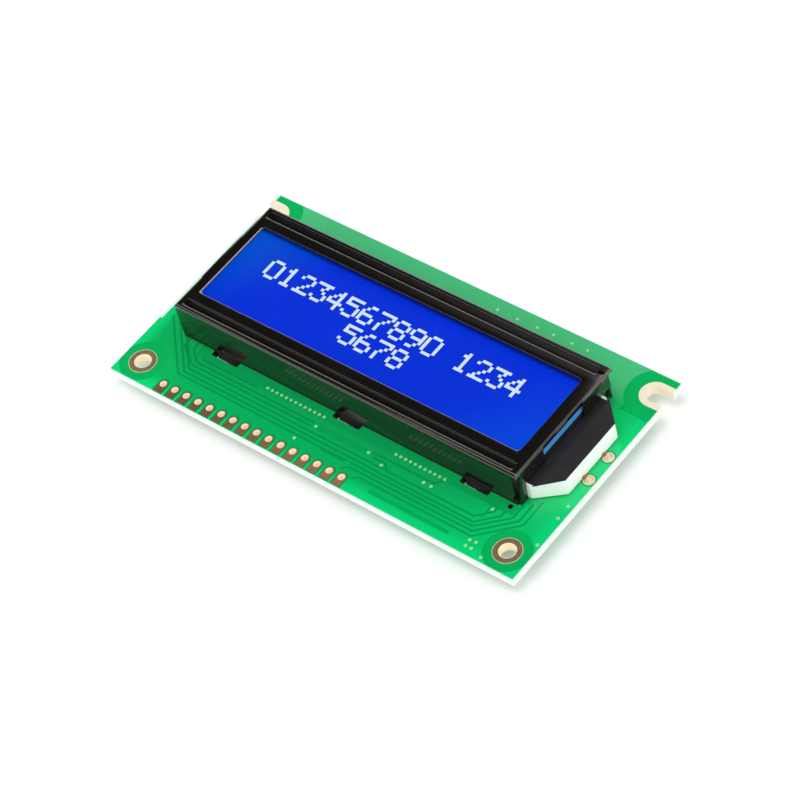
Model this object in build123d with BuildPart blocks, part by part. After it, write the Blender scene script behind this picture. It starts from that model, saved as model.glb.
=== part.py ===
from build123d import *
from math import cos, radians, sin
import os

# Character display module: a circuit board that carries a liquid crystal cell under a folded steel
# bezel, with an edge-lit backlight whose tongue comes out at the right end.
# Millimetres. X runs along the display, Y towards its back edge, Z up.
# Z = 0 is the bench that the bezel's feet stand on, and X = Y = 0 is the middle of the board.

# Circuit board
board_length = 84.0
board_width = 44.0
board_thickness = 1.6
board_lift = 2.2

# Copper, shown as thick as the plating that a probe would feel
foil = 0.08
plating = 0.1

# Plated mounting holes at the front corners
mount_hole_radius = 1.4
mount_ring_radius = 2.45
mount_inset_x = 4.0
mount_inset_y = 4.0

# Open mounting notches at the back corners
notch_radius = 1.5
notch_ring_radius = 2.5
notch_inset_x = 2.45
notch_inset_y = 3.95

# Row of header holes along the front edge
header_count = 16
header_pitch = 2.54
header_hole_radius = 0.55
header_land_width = 1.6
header_land_gap = 0.35
header_inset_x = 10.35
header_inset_y = 2.0

# Folded bezel
bezel_length = 70.55
bezel_width = 24.7
bezel_height = 7.8
bezel_shift_x = -0.12
bezel_shift_y = 2.1
sheet = 0.4
side_fold_radius = 0.5
left_fold_radius = 0.5
right_fold_radius = 0.95
right_wall_lean = 0.5
window_end_border = 2.275
window_side_border = 4.2
window_shift_x = -0.23
window_radius = 0.8

# Pressed grooves beside the window, which push the glass down on its contact strips
groove_end = 1.275
groove_width = 1.35
groove_edge = 1.6

# Reliefs at the bezel's corners and cut-outs in its end walls
relief_width = 0.95
relief_foot = 0.3
relief_end = 1.1
relief_drop = 0.75
cutout_length = 10.2
cutout_shift_y = -0.35
cutout_drop = 3.9
cutout_edge = 0.1
lug_width = 2.9
lug_drop = 0.75
lug_shift_y = -0.25
leg_width = 1.95
pocket_length = 1.5
pocket_width = 0.75

# Feet that pass through slots in the board and are twisted below it
foot_width = 4.8
foot_inset = 9.275
foot_neck_gap = 0.05
foot_twist = 32.0
foot_twist_height = 0.9
slot_end_gap = 0.4
slot_outer_gap = 0.95
slot_inner_gap = 0.2
slot_radius = 0.3
corner_hole_radius = 0.45
corner_hole_shift = 1.5
corner_hole_gap = 0.75

# Liquid crystal cell
glass_thickness = 1.1
seal_thickness = 0.1
seal_width = 1.2
polarizer_thickness = 0.15
polarizer_margin = 0.7
glass_side_gap = 0.25
glass_end_gap = 0.15
ledge_width = 2.0

# Contact strips of silicone rubber under the two ledges of the front glass
strip_width = 1.7
strip_margin = 1.0

# Backlight
frame_gap = 0.2
frame_wall = 1.3
frame_floor = 0.5
film_thickness = 0.1
diffuser_thickness = 0.15
film_gap = 0.2
tongue_reach = 5.4
tongue_root = 1.0
tongue_root_margin = 2.4
tongue_tip_inset = 3.55
tongue_shift_y = -0.35
tongue_height = 3.6
tongue_lift = 0.3
tongue_radius = 0.5
shield_reach = 1.7
shield_thickness = 0.12
shield_rise = 0.85
tape_thickness = 0.1
tape_inset = 0.25
lamp_length = 3.0
lamp_width = 1.3
lamp_height = 2.2
lamp_pocket_width = 2.6
lamp_pocket_length = 11.0
lamp_pocket_floor = 0.9
lamp_gap = 0.1

# Leads of the backlight
lead_pitch = 5.08
lead_reach = 0.95
lead_width = 0.5
lead_thickness = 0.25
lead_gap = 0.05
lead_tail = 0.7
lead_hole_radius = 0.45
lead_land_radius = 1.0
solder_radius = 0.75
solder_top_radius = 0.3
solder_height = 0.5

# Chips under the board
blob_radius = 7.0
blob_height = 1.6
blob_pitch = 36.0
blob_shift_y = 1.0
chip_length = 2.0
chip_width = 1.25
chip_height = 0.55
chip_cap = 0.4
resistor_count = 6
resistor_pitch = 3.2
resistor_y = -14.5
capacitor_count = 3
capacitor_pitch = 4.0
capacitor_y = 18.0

# Seal of the filling port at the left end of the cell
port_radius = 1.6
port_reach = 0.25

# Places that follow from the sizes above
board_top = board_lift + board_thickness
board_end = board_length / 2
board_front = -board_width / 2
bezel_top = board_top + bezel_height
plate_under = bezel_top - sheet
bezel_left = bezel_shift_x - bezel_length / 2
bezel_right = bezel_shift_x + bezel_length / 2
bezel_front = bezel_shift_y - bezel_width / 2
bezel_back = bezel_shift_y + bezel_width / 2
window_x = bezel_shift_x + window_shift_x
cutout_y = bezel_shift_y + cutout_shift_y
cutout_foot = board_top + cutout_drop
window_length = bezel_length - 2 * window_end_border
window_width = bezel_width - 2 * window_side_border
groove_offset = bezel_width / 2 - groove_edge
groove_length = bezel_length - 2 * groove_end
groove_depth = groove_width / 2

glass_top = plate_under - groove_depth
front_glass_foot = glass_top - glass_thickness
seal_foot = front_glass_foot - seal_thickness
rear_glass_foot = seal_foot - glass_thickness
glass_left = bezel_left + sheet + glass_end_gap
wall_lean_at_cutout = right_wall_lean * (1 - cutout_drop / bezel_height)
glass_right = bezel_right - wall_lean_at_cutout - sheet - glass_end_gap
glass_x = (glass_left + glass_right) / 2
glass_length = glass_right - glass_left
glass_width = bezel_width - 2 * (sheet + glass_side_gap)
rear_glass_width = glass_width - 2 * ledge_width
strip_offset = glass_width / 2 - strip_width / 2
frame_width = glass_width - 2 * (strip_width + frame_gap)
frame_height = rear_glass_foot - board_top
well_length = glass_length - 2 * frame_wall
well_width = frame_width - 2 * frame_wall
tongue_y = bezel_shift_y + tongue_shift_y
tongue_root_width = bezel_width - 2 * tongue_root_margin
tongue_tip_width = tongue_root_width - 2 * tongue_tip_inset
tongue_top = board_top + tongue_height
tongue_tip = glass_right + tongue_reach
lead_x = tongue_tip + lead_reach
lead_foot = board_top + tongue_lift

mount_points = [(side * (board_end - mount_inset_x), board_front + mount_inset_y) for side in (-1, 1)]
notch_x = board_end - notch_inset_x
notch_y = -board_front - notch_inset_y
header_y = board_front + header_inset_y
header_points = [
    (-board_end + header_inset_x + step * header_pitch, header_y) for step in range(header_count)
]
lead_points = [(lead_x, tongue_y + side * lead_pitch / 2) for side in (-1, 1)]
foot_pitch = bezel_length / 2 - foot_inset
foot_points = [
    (step * foot_pitch, bezel_shift_y + side * (bezel_width - sheet) / 2, side)
    for step in (-1, 0, 1)
    for side in (-1, 1)
]
slot_width = sheet + slot_inner_gap + slot_outer_gap
slot_length = foot_width + 2 * slot_end_gap
slot_outset = (slot_outer_gap - slot_inner_gap) / 2
resistor_points = [
    ((step - (resistor_count - 1) / 2) * resistor_pitch, resistor_y) for step in range(resistor_count)
]
capacitor_points = [
    ((step - (capacitor_count - 1) / 2) * capacitor_pitch, capacitor_y) for step in range(capacitor_count)
]

os.makedirs("parts", exist_ok=True)


def save(piece, name):
    """Label a finished piece and write its file."""
    piece.part.label = name
    export_step(piece.part, f"parts/{name}.step")


def box_between(low, high, mode=Mode.ADD):
    """Add or cut a block between two corners in the part being built."""
    middle = tuple((a + b) / 2 for a, b in zip(low, high))
    size = tuple(b - a for a, b in zip(low, high))
    with Locations(middle):
        Box(*size, mode=mode)


def notch_outline(side, radius, mode=Mode.ADD):
    """Draw a notch with a round inner end, open to one end of the board."""
    with Locations((side * notch_x, notch_y)):
        Circle(radius, mode=mode)
    with Locations((side * (notch_x + board_end) / 2, notch_y)):
        Rectangle(board_end - notch_x, 2 * radius, mode=mode)


# Circuit board with its holes, notches and slots
with BuildPart() as circuit_board:
    with BuildSketch(Plane.XY.offset(board_lift)):
        Rectangle(board_length, board_width)
        with Locations(*mount_points):
            Circle(mount_hole_radius + plating, mode=Mode.SUBTRACT)
        for side in (-1, 1):
            notch_outline(side, notch_radius + plating, Mode.SUBTRACT)
        with Locations(*header_points):
            Circle(header_hole_radius + plating, mode=Mode.SUBTRACT)
        with Locations(*lead_points):
            Circle(lead_hole_radius + plating, mode=Mode.SUBTRACT)
        for foot_x, foot_y, side in foot_points:
            with Locations((foot_x, foot_y + side * slot_outset)):
                RectangleRounded(slot_length, slot_width, slot_radius, mode=Mode.SUBTRACT)
        with Locations((bezel_right - corner_hole_shift - corner_hole_radius, bezel_front - corner_hole_gap)):
            Circle(corner_hole_radius, mode=Mode.SUBTRACT)
    extrude(amount=board_thickness)
save(circuit_board, "circuit_board")

# Plated rings of the two front mounting holes
with BuildPart() as mounting_rings:
    for foot in (board_lift - foil, board_top):
        with BuildSketch(Plane.XY.offset(foot)):
            with Locations(*mount_points):
                Circle(mount_ring_radius)
                Circle(mount_hole_radius, mode=Mode.SUBTRACT)
        extrude(amount=foil)
    with BuildSketch(Plane.XY.offset(board_lift)):
        with Locations(*mount_points):
            Circle(mount_hole_radius + plating)
            Circle(mount_hole_radius, mode=Mode.SUBTRACT)
    extrude(amount=board_thickness)
save(mounting_rings, "mounting_rings")

# Plated edges of the two back notches
with BuildPart() as notch_rings:
    for foot in (board_lift - foil, board_top):
        with BuildSketch(Plane.XY.offset(foot)):
            for side in (-1, 1):
                notch_outline(side, notch_ring_radius)
                notch_outline(side, notch_radius, Mode.SUBTRACT)
            Rectangle(board_length, board_width, mode=Mode.INTERSECT)
        extrude(amount=foil)
    with BuildSketch(Plane.XY.offset(board_lift)):
        for side in (-1, 1):
            notch_outline(side, notch_radius + plating)
            notch_outline(side, notch_radius, Mode.SUBTRACT)
    extrude(amount=board_thickness)
save(notch_rings, "notch_rings")

# Sixteen plated header holes, each in a land with one round end that runs to the board's edge
land_end = board_front + header_land_gap
with BuildPart() as header_lands:
    for foot in (board_lift - foil, board_top):
        with BuildSketch(Plane.XY.offset(foot)):
            with Locations(*header_points):
                Circle(header_land_width / 2)
            with Locations(*[(x, (header_y + land_end) / 2) for x, y in header_points]):
                Rectangle(header_land_width, header_y - land_end)
            with Locations(*header_points):
                Circle(header_hole_radius, mode=Mode.SUBTRACT)
        extrude(amount=foil)
    with BuildSketch(Plane.XY.offset(board_lift)):
        with Locations(*header_points):
            Circle(header_hole_radius + plating)
            Circle(header_hole_radius, mode=Mode.SUBTRACT)
    extrude(amount=board_thickness)
save(header_lands, "header_lands")

# Plated lands of the backlight's two leads
with BuildPart() as lead_lands:
    for foot in (board_lift - foil, board_top):
        with BuildSketch(Plane.XY.offset(foot)):
            with Locations(*lead_points):
                Circle(lead_land_radius)
                Circle(lead_hole_radius, mode=Mode.SUBTRACT)
        extrude(amount=foil)
    with BuildSketch(Plane.XY.offset(board_lift)):
        with Locations(*lead_points):
            Circle(lead_hole_radius + plating)
            Circle(lead_hole_radius, mode=Mode.SUBTRACT)
    extrude(amount=board_thickness)
save(lead_lands, "lead_lands")

def folded_block(inset):
    """Give the block that the bezel is folded round, set in from the bezel's outside by a depth."""
    top = bezel_top - inset
    with BuildPart() as block:
        with BuildSketch(Plane.XZ.offset(-bezel_shift_y)) as long_section:
            with BuildLine():
                Polyline(
                    (bezel_left + inset, board_top),
                    (bezel_left + inset, top),
                    (bezel_right - inset, top),
                    (bezel_right - inset - right_wall_lean, board_top),
                    close=True,
                )
            make_face()
            top_corners = long_section.vertices().group_by(Axis.Y)[-1].sort_by(Axis.X)
            fillet(top_corners[0], left_fold_radius - inset)
            fillet(top_corners[-1], right_fold_radius - inset)
        extrude(amount=bezel_width / 2 - inset, both=True)
        with BuildSketch(Plane.YZ.offset(bezel_shift_x)) as cross_section:
            with Locations((bezel_shift_y, (board_top + top) / 2)):
                Rectangle(bezel_width - 2 * inset, top - board_top)
            fillet(cross_section.vertices().group_by(Axis.Y)[-1], side_fold_radius - inset)
        extrude(amount=bezel_length / 2, both=True, mode=Mode.INTERSECT)
    return block.part


# Folded bezel: a plate with four walls, whose right wall leans in towards its foot
with BuildPart() as metal_bezel:
    add(folded_block(0))
    add(folded_block(sheet), mode=Mode.SUBTRACT)

    # Ridges under the plate, and the half-round grooves that are pressed into it to raise them
    groove_points = [(bezel_shift_x, bezel_shift_y + side * groove_offset) for side in (-1, 1)]
    groove_run = groove_length - groove_width
    for point_x, point_y in groove_points:
        with Locations((point_x, point_y, bezel_top)):
            Cylinder(groove_depth + sheet, groove_length + sheet, rotation=(0, 90, 0))
            Cylinder(groove_depth, groove_run, rotation=(0, 90, 0), mode=Mode.SUBTRACT)
            with Locations((-groove_run / 2, 0, 0), (groove_run / 2, 0, 0)):
                Sphere(groove_depth, mode=Mode.SUBTRACT)
        box_between(
            (bezel_left, bezel_front, bezel_top),
            (bezel_right, bezel_back, bezel_top + 2 * groove_width),
            Mode.SUBTRACT,
        )

    # Window over the display
    with BuildSketch(Plane.XY.offset(bezel_top)):
        with Locations((window_x, bezel_shift_y)):
            RectangleRounded(window_length, window_width, window_radius)
    extrude(amount=-2 * sheet, mode=Mode.SUBTRACT)

    # Reliefs between the end walls and the long walls, wide under the fold and narrow at the foot
    for side in (-1, 1):
        corner_y = bezel_shift_y + side * bezel_width / 2
        relief_y = corner_y - side * relief_width
        relief_top = bezel_top - relief_drop
        with BuildSketch(Plane.YZ.offset(bezel_right - relief_end)):
            with BuildLine():
                Polyline(
                    (corner_y - side * relief_foot, board_top),
                    (relief_y, relief_top - relief_width / 2),
                    (corner_y, relief_top - relief_width / 2),
                    (corner_y + side * sheet, board_top),
                    close=True,
                )
            make_face()
            with Locations((corner_y - side * relief_width / 2, relief_top - relief_width / 2)):
                Circle(relief_width / 2)
        extrude(amount=2 * relief_end, mode=Mode.SUBTRACT)
        with BuildSketch(Plane.YZ.offset(bezel_left - sheet)):
            with BuildLine():
                Polyline(
                    (corner_y - side * (sheet + relief_foot), board_top),
                    (corner_y - side * (sheet + relief_width), relief_top - relief_width / 2),
                    (corner_y - side * sheet, relief_top - relief_width / 2),
                    (corner_y - side * sheet, board_top),
                    close=True,
                )
            make_face()
            with Locations((corner_y - side * (sheet + relief_width / 2), relief_top - relief_width / 2)):
                Circle(relief_width / 2)
        extrude(amount=3 * sheet, mode=Mode.SUBTRACT)

    # The right wall stops above the tongue, but for one leg at the front
    box_between(
        (bezel_right - relief_end, bezel_front + leg_width, board_top),
        (bezel_right + sheet, bezel_back + sheet, cutout_foot),
        Mode.SUBTRACT,
    )

    # Cut-outs that bare the ends of the cell, each with a rounded lug of the fold left in its middle
    for wall_x, side, fold_radius in (
        (bezel_left, -1, left_fold_radius),
        (bezel_right, 1, right_fold_radius),
    ):
        with BuildSketch(Plane.YZ.offset(wall_x - fold_radius)):
            with Locations((cutout_y, (cutout_foot + bezel_top) / 2)):
                Rectangle(cutout_length, bezel_top - cutout_foot)
            with Locations((cutout_y + lug_shift_y, bezel_top - lug_drop / 2)):
                SlotOverall(lug_width, 2 * lug_drop, mode=Mode.SUBTRACT)
        extrude(amount=2 * fold_radius, mode=Mode.SUBTRACT)
        edge = sorted((wall_x - side * (fold_radius + sheet), wall_x - side * cutout_edge))
        box_between(
            (edge[0], cutout_y - cutout_length / 2, plate_under),
            (edge[1], cutout_y + cutout_length / 2, bezel_top),
        )

    # Pierced pocket at the right end of the back groove
    with BuildSketch(Plane.XY.offset(bezel_top)):
        with Locations((bezel_right - right_fold_radius, bezel_shift_y + groove_offset)):
            SlotOverall(pocket_length, pocket_width)
    extrude(amount=-groove_depth - 2 * sheet, mode=Mode.SUBTRACT)

    # Feet through the board, twisted under it
    neck_foot = board_lift - foot_neck_gap
    twist_foot = neck_foot - foot_twist_height
    for foot_x, foot_y, side in foot_points:
        box_between(
            (foot_x - foot_width / 2, foot_y - sheet / 2, neck_foot),
            (foot_x + foot_width / 2, foot_y + sheet / 2, board_top + sheet),
        )
        turned = (cos(radians(foot_twist)), side * sin(radians(foot_twist)), 0)
        with BuildSketch(Plane((foot_x, foot_y, neck_foot))):
            Rectangle(foot_width, sheet)
        with BuildSketch(Plane((foot_x, foot_y, twist_foot), x_dir=turned)):
            Rectangle(foot_width, sheet)
        loft(ruled=True)
        with BuildSketch(Plane((foot_x, foot_y, twist_foot), x_dir=turned)):
            Rectangle(foot_width, sheet)
        extrude(amount=-twist_foot)
save(metal_bezel, "metal_bezel")

# Front glass, whose long edges lie on the contact strips
with BuildPart() as front_glass:
    with BuildSketch(Plane.XY.offset(front_glass_foot)):
        with Locations((glass_x, bezel_shift_y)):
            Rectangle(glass_length, glass_width)
    extrude(amount=glass_thickness)
save(front_glass, "front_glass")

# Rear glass, shorter across than the front glass by the two ledges
with BuildPart() as rear_glass:
    with BuildSketch(Plane.XY.offset(rear_glass_foot)):
        with Locations((glass_x, bezel_shift_y)):
            Rectangle(glass_length, rear_glass_width)
    extrude(amount=glass_thickness)
save(rear_glass, "rear_glass")

# Seal that joins the two glasses and holds the liquid crystal
with BuildPart() as cell_seal:
    with BuildSketch(Plane.XY.offset(seal_foot)):
        with Locations((glass_x, bezel_shift_y)):
            Rectangle(glass_length, rear_glass_width)
            Rectangle(glass_length - 2 * seal_width, rear_glass_width - 2 * seal_width, mode=Mode.SUBTRACT)
    extrude(amount=seal_thickness)
save(cell_seal, "cell_seal")

# Drop of resin that closes the cell's filling port at its left end
with BuildPart() as port_seal:
    with BuildSketch(Plane.XZ.offset(-cutout_y)):
        with Locations((glass_left, seal_foot + seal_thickness / 2)):
            Ellipse(port_reach, glass_thickness / 2)
            with Locations((glass_length / 2, 0)):
                Rectangle(glass_length, 2 * glass_thickness, mode=Mode.SUBTRACT)
    extrude(amount=port_radius, both=True)
save(port_seal, "port_seal")

# Polarizers: one seen through the window, one under the rear glass inside the backlight's well
with BuildPart() as front_polarizer:
    with BuildSketch(Plane.XY.offset(glass_top)):
        with Locations((window_x, bezel_shift_y)):
            Rectangle(window_length + 2 * polarizer_margin, window_width + 2 * polarizer_margin)
    extrude(amount=polarizer_thickness)
save(front_polarizer, "front_polarizer")

with BuildPart() as rear_polarizer:
    with BuildSketch(Plane.XY.offset(rear_glass_foot - polarizer_thickness)):
        with Locations((glass_x, bezel_shift_y)):
            Rectangle(well_length - 2 * film_gap, well_width - 2 * film_gap)
    extrude(amount=polarizer_thickness)
save(rear_polarizer, "rear_polarizer")

# Contact strips that stand on the board and press on the ledges of the front glass
for strip_name, side in (("front_contact_strip", -1), ("back_contact_strip", 1)):
    with BuildPart() as contact_strip:
        with BuildSketch(Plane.XY.offset(board_top)):
            with Locations((glass_x, bezel_shift_y + side * strip_offset)):
                Rectangle(glass_length - 2 * strip_margin, strip_width)
        extrude(amount=front_glass_foot - board_top)
    save(contact_strip, strip_name)

# Backlight frame: a moulded tray with a well for the light guide and a tongue for the lamps
well_right = glass_right - frame_wall
lamp_x = glass_right + lamp_gap
lamp_foot = board_top + lamp_pocket_floor
with BuildPart() as backlight_frame:
    with BuildSketch(Plane.XY.offset(board_top)):
        with Locations((glass_x, bezel_shift_y)):
            Rectangle(glass_length, frame_width)
    extrude(amount=frame_height)
    with BuildSketch(Plane.XY.offset(board_top + tongue_lift)):
        with BuildLine():
            Polyline(
                (glass_right, tongue_y - tongue_root_width / 2),
                (glass_right + tongue_root, tongue_y - tongue_root_width / 2),
                (tongue_tip, tongue_y - tongue_tip_width / 2),
                (tongue_tip, tongue_y + tongue_tip_width / 2),
                (glass_right + tongue_root, tongue_y + tongue_root_width / 2),
                (glass_right, tongue_y + tongue_root_width / 2),
                close=True,
            )
        make_face()
    extrude(amount=tongue_height - tongue_lift)
    tip_edges = backlight_frame.edges().filter_by(Axis.Z).group_by(Axis.X)[-1]
    fillet(tip_edges, tongue_radius)
    with BuildSketch(Plane.XY.offset(board_top + frame_floor)):
        with Locations((glass_x, bezel_shift_y)):
            Rectangle(well_length, well_width)
    extrude(amount=frame_height, mode=Mode.SUBTRACT)
    box_between(
        (lamp_x, tongue_y - lamp_pocket_length / 2, lamp_foot),
        (lamp_x + lamp_pocket_width, tongue_y + lamp_pocket_length / 2, tongue_top),
        Mode.SUBTRACT,
    )
    box_between(
        (well_right - frame_wall / 2, tongue_y - lamp_pocket_length / 2, lamp_foot),
        (lamp_x + frame_wall / 2, tongue_y + lamp_pocket_length / 2, lamp_foot + lamp_height),
        Mode.SUBTRACT,
    )
    for point_x, point_y in lead_points:
        half = lead_width / 2 + lead_gap
        box_between(
            (lamp_x + lead_gap, point_y - half, lead_foot),
            (tongue_tip, point_y + half, lead_foot + lead_thickness + lead_gap),
            Mode.SUBTRACT,
        )
        box_between(
            (lamp_x + lead_gap, point_y - half, lead_foot),
            (lamp_x + lead_gap + lead_thickness + 2 * lead_gap, point_y + half, lamp_foot),
            Mode.SUBTRACT,
        )
save(backlight_frame, "backlight_frame")

# Sheets stacked in the well: reflector, light guide, diffuser and prism film
well_x = glass_x
stack_foot = board_top + frame_floor
guide_foot = stack_foot + film_thickness
film_foot = rear_glass_foot - polarizer_thickness - diffuser_thickness
diffuser_foot = film_foot - diffuser_thickness
guide_height = diffuser_foot - guide_foot
for sheet_name, foot, thickness in (
    ("reflector_film", stack_foot, film_thickness),
    ("light_guide", guide_foot, guide_height),
    ("diffuser_film", diffuser_foot, diffuser_thickness),
    ("prism_film", film_foot, diffuser_thickness),
):
    with BuildPart() as well_sheet:
        with BuildSketch(Plane.XY.offset(foot)):
            with Locations((well_x, bezel_shift_y)):
                Rectangle(well_length - 2 * film_gap, well_width - 2 * film_gap)
        extrude(amount=thickness)
    save(well_sheet, sheet_name)

# Lamps that shine into the end of the guide
with BuildPart() as backlight_lamps:
    for point_x, point_y in lead_points:
        box_between(
            (lamp_x + lead_gap, point_y - lamp_length / 2, lamp_foot),
            (lamp_x + lead_gap + lamp_width, point_y + lamp_length / 2, lamp_foot + lamp_height),
        )
save(backlight_lamps, "backlight_lamps")

# Leads: down from each lamp, out under the tongue and down through the board
with BuildPart() as backlight_leads:
    for point_x, point_y in lead_points:
        box_between(
            (lamp_x + 2 * lead_gap, point_y - lead_width / 2, lead_foot),
            (lamp_x + 2 * lead_gap + lead_thickness, point_y + lead_width / 2, lamp_foot),
        )
        box_between(
            (lamp_x + 2 * lead_gap, point_y - lead_width / 2, lead_foot),
            (point_x + lead_thickness / 2, point_y + lead_width / 2, lead_foot + lead_thickness),
        )
        box_between(
            (point_x - lead_thickness / 2, point_y - lead_width / 2, board_lift - lead_tail),
            (point_x + lead_thickness / 2, point_y + lead_width / 2, lead_foot + lead_thickness),
        )
save(backlight_leads, "backlight_leads")

# Cones of solder round the leads
with BuildPart() as lead_solder:
    solder_middle = board_top + foil + solder_height / 2
    with Locations(*[(x, y, solder_middle) for x, y in lead_points]):
        Cone(solder_radius, solder_top_radius, solder_height)
    for point_x, point_y in lead_points:
        box_between(
            (point_x - lead_thickness / 2, point_y - lead_width / 2, board_top),
            (point_x + lead_thickness / 2, point_y + lead_width / 2, lead_foot + lead_thickness),
            Mode.SUBTRACT,
        )
        box_between(
            (point_x - solder_radius, point_y - lead_width / 2, lead_foot),
            (point_x, point_y + lead_width / 2, lead_foot + lead_thickness),
            Mode.SUBTRACT,
        )
save(lead_solder, "lead_solder")

# Black angle over the joint of the tongue and the cell, and the tape over the lamps
shield_end = glass_right + shield_reach
with BuildPart() as light_shield:
    for reach, height in ((shield_end, shield_thickness), (glass_right + shield_thickness, shield_rise)):
        box_between(
            (glass_right, tongue_y - tongue_root_width / 2 + tape_inset, tongue_top),
            (reach, tongue_y + tongue_root_width / 2 - 2 * tape_inset, tongue_top + height),
        )
save(light_shield, "light_shield")

with BuildPart() as tongue_tape:
    with BuildSketch(Plane.XY.offset(tongue_top)):
        with BuildLine():
            Polyline(
                (shield_end, tongue_y - tongue_root_width / 2),
                (tongue_tip, tongue_y - tongue_tip_width / 2),
                (tongue_tip, tongue_y + tongue_tip_width / 2),
                (shield_end, tongue_y + tongue_root_width / 2),
                close=True,
            )
        make_face()
    extrude(amount=tape_thickness)
save(tongue_tape, "tongue_tape")

# Driver chips under drops of black resin on the board's underside
blob_round = (blob_radius**2 + blob_height**2) / (2 * blob_height)
for blob_name, side in (("controller_blob", -1), ("driver_blob", 1)):
    blob_x = side * blob_pitch / 2
    with BuildPart() as resin_blob:
        with BuildSketch(Plane((blob_x, blob_shift_y, board_lift), x_dir=(1, 0, 0), z_dir=(0, -1, 0))):
            with BuildLine():
                RadiusArc((blob_radius, 0), (0, -blob_height), blob_round)
                Line((0, -blob_height), (0, 0))
                Line((0, 0), (blob_radius, 0))
            make_face()
        revolve(axis=Axis((blob_x, blob_shift_y, 0), (0, 0, 1)))
    save(resin_blob, blob_name)

# Chip resistors and capacitors on the underside, each a body between two metal caps
for body_name, cap_name, points in (
    ("chip_resistors", "resistor_caps", resistor_points),
    ("chip_capacitors", "capacitor_caps", capacitor_points),
):
    with BuildPart() as chip_bodies:
        with BuildSketch(Plane.XY.offset(board_lift - chip_height)):
            with Locations(*points):
                Rectangle(chip_length - 2 * chip_cap, chip_width)
        extrude(amount=chip_height)
    save(chip_bodies, body_name)
    with BuildPart() as chip_caps:
        with BuildSketch(Plane.XY.offset(board_lift - chip_height)):
            with Locations(*points):
                Rectangle(chip_length, chip_width)
                Rectangle(chip_length - 2 * chip_cap, chip_width, mode=Mode.SUBTRACT)
        extrude(amount=chip_height)
    save(chip_caps, cap_name)
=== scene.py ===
import math
import bpy
from bpy.props import FloatProperty, FloatVectorProperty, PointerProperty, StringProperty
from mathutils import Matrix, Vector


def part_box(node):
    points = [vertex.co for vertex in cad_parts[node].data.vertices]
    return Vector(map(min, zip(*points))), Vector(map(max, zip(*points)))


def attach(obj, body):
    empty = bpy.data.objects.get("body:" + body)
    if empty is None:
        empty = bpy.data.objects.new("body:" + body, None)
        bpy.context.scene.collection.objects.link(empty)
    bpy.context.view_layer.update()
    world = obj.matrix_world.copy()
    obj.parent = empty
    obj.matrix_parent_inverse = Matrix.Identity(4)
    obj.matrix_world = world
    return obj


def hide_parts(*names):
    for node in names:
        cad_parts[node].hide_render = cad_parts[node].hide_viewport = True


bl_info = {
    "name": "Character Display Module",
    "version": (1, 0, 0),
    "blender": (4, 5, 0),
    "location": "3D View > Sidebar > Display",
    "description": "Dresses a character display module and sets its studio",
    "category": "Object",
}

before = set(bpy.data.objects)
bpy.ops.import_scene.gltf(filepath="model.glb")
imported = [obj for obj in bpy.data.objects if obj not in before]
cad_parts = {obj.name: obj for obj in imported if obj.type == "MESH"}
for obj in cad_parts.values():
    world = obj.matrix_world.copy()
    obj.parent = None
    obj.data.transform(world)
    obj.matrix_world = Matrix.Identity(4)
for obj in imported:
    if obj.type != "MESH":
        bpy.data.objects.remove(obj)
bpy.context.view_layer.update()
MM = 0.001

# Heights on the module, in millimetres
BOARD_FOOT, BOARD_TOP = (corner[2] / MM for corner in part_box("circuit_board"))
BEZEL_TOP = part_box("metal_bezel")[1][2] / MM
FACE_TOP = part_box("front_polarizer")[1][2] / MM

# Places on the board seen from above, in millimetres
BOARD_EDGE = (42.0, 22.0)
COPPER_EDGE = (41.87, 21.87)
MARGIN_EDGE = (41.85, 21.85)
LEFT_MARGIN = (-41.45, -9.3)
MOUNTING_HOLE = (38.0, -18.0)
NOTCH = (39.55, 18.05)
HEADER = (-31.65, -20.0)
HEADER_PITCH = 2.54
HEADER_COUNT = 16
LEADS = ((40.705, -0.79), (40.705, 4.29))
FOOT_SLOTS = tuple((x, y) for x in (-26, 0, 26) for y in (-10.42, 14.62))
CORNER_HOLE = (33.2, -11.0)

# The pressed grooves of the bezel's plate: their middle lines and the middle and half length of their run
GROOVE_LINES = (-8.65, 12.85)
GROOVE_MIDDLE = -0.2
GROOVE_REACH = (34.0, 34.2)

# The lamps: name, direction, long axis, distance, width and height in metres, level's name and share of that level
UPRIGHT = (0.0, 0.0, 1.0)
LAMPS = (
    ("key_lamp", (-0.12, -0.15, 0.98), (0.0, 1.0, 0.0), 0.9, 0.5, 0.5, "overhead", 1.5),
    ("fold_lamp", (0.62, 0.43, 0.66), (-0.7, 0.0, 0.71), 0.9, 0.24, 1.4, "overhead", 1.15),
    ("left_lamp", (-0.9, -0.1, 0.42), UPRIGHT, 0.9, 0.5, 0.4, "overhead", 1.0),
    ("side_lamp", (-0.52, 0.76, 0.36), UPRIGHT, 0.9, 0.6, 0.3, "side", 0.75),
    ("front_lamp", (-0.5, -0.75, 0.4), UPRIGHT, 1.0, 0.6, 0.3, "side", 0.8),
    ("end_lamp", (0.75, -0.55, 0.36), UPRIGHT, 1.0, 0.6, 0.4, "side", 0.62),
)

# Where the camera sees the bezel's plate mirror the ceiling, and the surround's strength round it and in it
MIRRORED = (-0.515, 0.412, 0.752)
SURROUND = (0.32, 0.03)

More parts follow.
